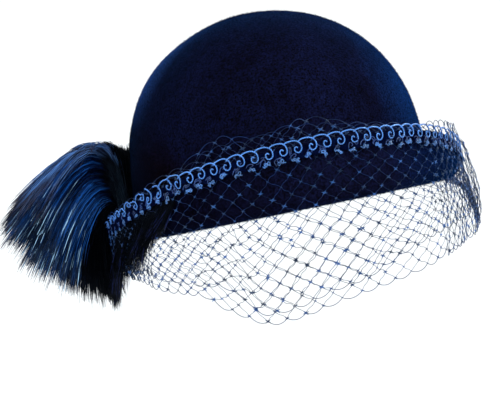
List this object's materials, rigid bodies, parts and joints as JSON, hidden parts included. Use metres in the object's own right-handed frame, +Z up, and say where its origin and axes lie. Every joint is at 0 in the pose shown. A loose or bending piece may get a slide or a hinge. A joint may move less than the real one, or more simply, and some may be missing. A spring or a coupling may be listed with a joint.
{
  "type": "cloche hat",
  "caption": "Felt cloche hat with a domed crown, turned-up brim, scroll braid, face veil of open net and a side plume.",
  "frame": {"origin": "middle of the head opening, in the plane of the brim's fold", "axes": "+Z up through the crown; the wearer faces -Y; the wearer's left is +X, so the plume is at -X"},
  "size_m": [0.2685, 0.2433, 0.1661],
  "materials": {
    "crown_felt": "velour felt, dark navy",
    "brim_felt": "velour felt, dark navy",
    "braid_cord": "rayon gimp cord, navy blue with a sheen",
    "veil_net": "knotted thread, navy blue",
    "plume_fibre": "glossy feather fibre, navy blue"
  },
  "bodies": {
    "root": {"crown": "crown_felt", "brim": "brim_felt", "braid": "braid_cord", "veil": "veil_net", "plume": "plume_fibre"}
  },
  "joints": []
}
